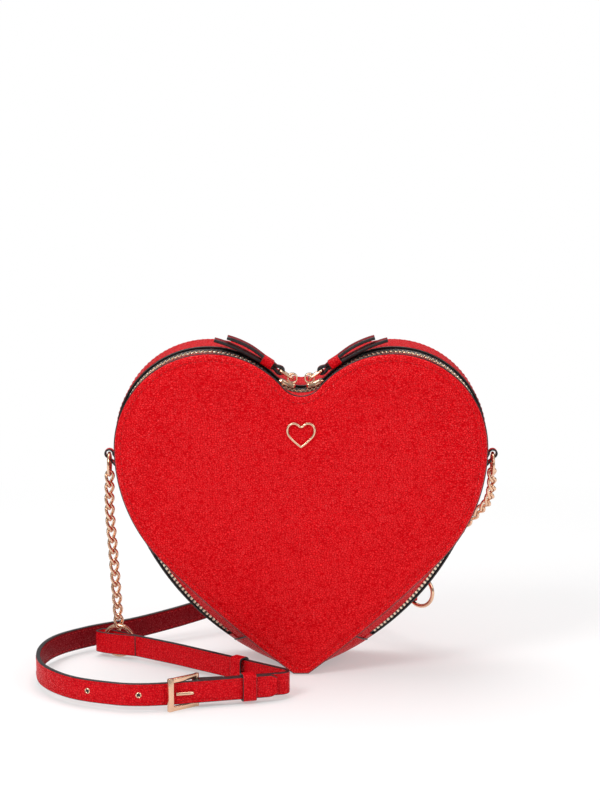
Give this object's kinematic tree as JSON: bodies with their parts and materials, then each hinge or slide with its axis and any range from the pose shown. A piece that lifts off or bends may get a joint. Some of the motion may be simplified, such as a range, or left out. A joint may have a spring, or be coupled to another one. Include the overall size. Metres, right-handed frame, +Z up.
{
  "type": "heart shaped shoulder purse",
  "caption": "Heart shaped leather purse with a zip round its side, leather zip pulls, side tabs with rings, curb chains and a buckled strap that lies in loops on the floor.",
  "frame": {"origin": "middle of the flat under the tip of the heart, on the surface that the purse stands on, half way through the depth of the bag", "axes": "+X to the right of the bag seen from the front, +Y from the front to the back, +Z up"},
  "size_m": [0.2695, 0.2173, 0.2029],
  "materials": {
    "red_leather": "pebbled leather, satin",
    "black_tape": "woven zip tape",
    "lining": "woven lining",
    "foam": "thin foam padding",
    "board": "stiffening board",
    "rose_gold": "pale rose gold plating, polished"
  },
  "bodies": {
    "bag": {"main_gusset": "red_leather", "base_gusset": "red_leather", "back_panel": "red_leather", "back_pad": "foam", "back_board": "board", "back_lining": "lining", "gusset_lining": "lining", "slip_pocket": "lining", "zip_tape_rear": "black_tape", "zip_teeth_rear": "rose_gold", "left_zip_end": "red_leather", "right_zip_end": "red_leather", "left_tab": "red_leather", "right_tab": "red_leather"},
    "front": {"front_panel": "red_leather", "front_pad": "foam", "front_board": "board", "front_lining": "lining", "front_strip": "red_leather", "zip_tape_front": "black_tape", "zip_teeth_front": "rose_gold", "emblem": "rose_gold"},
    "left_slider_body": {"left_slider": "rose_gold"},
    "right_slider_body": {"right_slider": "rose_gold"},
    "left_pull_ring_body": {"left_pull_ring": "rose_gold"},
    "right_pull_ring_body": {"right_pull_ring": "rose_gold"},
    "left_pull_body": {"left_pull": "red_leather", "left_pull_band": "red_leather"},
    "right_pull_body": {"right_pull": "red_leather", "right_pull_band": "red_leather"},
    "strap": {"left_side_ring": "rose_gold", "right_side_ring": "rose_gold", "left_chain": "rose_gold", "right_chain": "rose_gold", "left_strap_ring": "rose_gold", "right_strap_ring": "rose_gold", "strap_short": "red_leather", "strap_long": "red_leather", "eyelets": "rose_gold", "fixed_keeper": "red_leather"},
    "buckle": {"buckle_frame": "rose_gold"},
    "prong": {"buckle_prong": "rose_gold"},
    "keeper": {"sliding_keeper": "red_leather"}
  },
  "joints": [
    {"name": "front_open", "type": "hinge", "parent": "bag", "child": "front", "pos_m": [0, -0.028, 0.0008], "axis": [1, 0, 0], "range_deg": [0, 40]},
    {"name": "left_slider_travel", "type": "hinge", "parent": "bag", "child": "left_slider_body", "pos_m": [0, -0.0133, 0.18927], "axis": [0, 1, 0], "range_deg": [0, 24]},
    {"name": "right_slider_travel", "type": "hinge", "parent": "bag", "child": "right_slider_body", "pos_m": [0, -0.0133, 0.18927], "axis": [0, -1, 0], "range_deg": [0, 24]},
    {"name": "left_pull_ring_swing", "type": "hinge", "parent": "left_slider_body", "child": "left_pull_ring_body", "pos_m": [-0.005, -0.0133, 0.17231], "axis": [0, 1, 0], "range_deg": [0, 28]},
    {"name": "right_pull_ring_swing", "type": "hinge", "parent": "right_slider_body", "child": "right_pull_ring_body", "pos_m": [0.005, -0.0133, 0.17231], "axis": [0, -1, 0], "range_deg": [0, 28]},
    {"name": "left_pull_swing", "type": "hinge", "parent": "left_pull_ring_body", "child": "left_pull_body", "pos_m": [-0.01211, -0.0133, 0.17697], "axis": [0, 1, 0], "range_deg": [0, 15]},
    {"name": "right_pull_swing", "type": "hinge", "parent": "right_pull_ring_body", "child": "right_pull_body", "pos_m": [0.01211, -0.0133, 0.17697], "axis": [0, -1, 0], "range_deg": [0, 15]},
    {"name": "strap_swing", "type": "hinge", "parent": "bag", "child": "strap", "pos_m": [0, 0, 0.11951], "axis": [1, 0, 0], "range_deg": [0, 80]},
    {"name": "buckle_turn", "type": "hinge", "parent": "strap", "child": "buckle", "pos_m": [-0.05793, -0.09381, 0.00975], "axis": [0, 0, 1], "range_deg": [0, 60]},
    {"name": "prong_turn", "type": "hinge", "parent": "strap", "child": "prong", "pos_m": [-0.05793, -0.09381, 0.00975], "axis": [0, 0, 1], "range_deg": [0, 4]},
    {"name": "keeper_slide", "type": "slide", "parent": "strap", "child": "keeper", "axis": [-0.9593, -0.2823, 0], "range_m": [-0.008, 0.009]}
  ]
}
